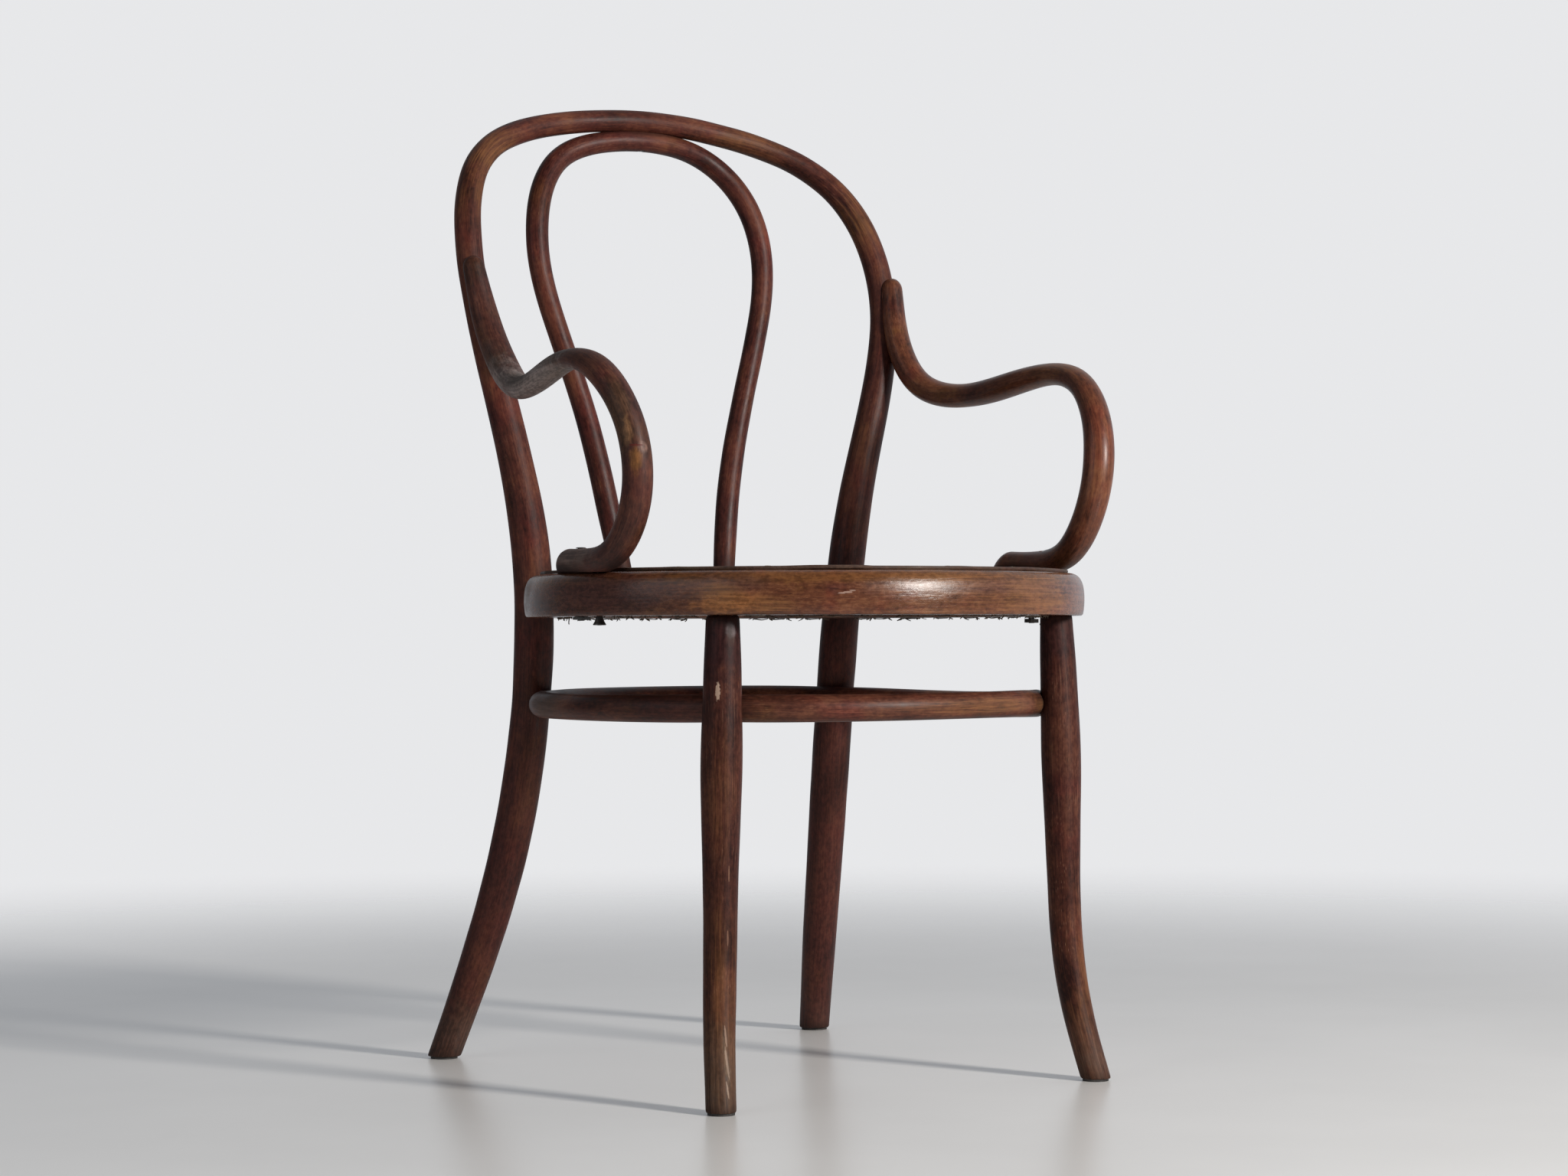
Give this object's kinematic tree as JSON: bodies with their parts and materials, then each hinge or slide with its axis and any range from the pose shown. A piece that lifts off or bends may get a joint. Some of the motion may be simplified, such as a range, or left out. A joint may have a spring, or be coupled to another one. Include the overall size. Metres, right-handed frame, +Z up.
{
  "type": "bentwood armchair",
  "caption": "Bentwood armchair with a continuous back bow and rear legs, inner hoop, looping arms, round seat and ring stretcher.",
  "frame": {"origin": "centre of the bounding box's footprint, on the floor", "axes": "+X to the sitter's left, the chair's mirror axis; -Y the way the chair faces; +Z up"},
  "size_m": [0.553, 0.5988, 0.932],
  "materials": {
    "bow_wood": "reddish brown stain under worn satin varnish, grain along the rod",
    "hoop_wood": "reddish brown stain under worn satin varnish, grain along the rod",
    "arm_wood": "reddish brown stain, dull grey wear on top",
    "leg_wood": "dark reddish brown stain, scuffed towards the foot",
    "seat_wood": "lighter orange brown stain, glossy where rubbed",
    "stretcher_wood": "dark reddish brown stain, satin",
    "panel_ply": "stained thin board, satin top, raw edge",
    "dark_steel": "dull dark with old oxide",
    "nail_brass": "tarnished",
    "old_cane": "matt, frayed",
    "pad_rubber": "dull black, scuffed rim"
  },
  "bodies": {
    "root": {"back_bow": "bow_wood", "back_hoop": "hoop_wood", "seat_ring": "seat_wood", "seat_panel": "panel_ply", "arm_left": "arm_wood", "arm_right": "arm_wood", "front_leg_left": "leg_wood", "front_leg_right": "leg_wood", "stretcher_ring": "stretcher_wood", "arm_rear_bolts": "dark_steel", "arm_rear_washers": "dark_steel", "arm_rear_nuts": "dark_steel", "arm_front_bolts": "dark_steel", "arm_front_nuts": "dark_steel", "arm_top_screws": "dark_steel", "hoop_screw": "dark_steel", "bow_screws": "dark_steel", "bow_washers": "dark_steel", "stretcher_screws": "dark_steel", "panel_nails": "nail_brass", "cane_loops": "old_cane", "foot_pads": "pad_rubber"}
  },
  "joints": []
}
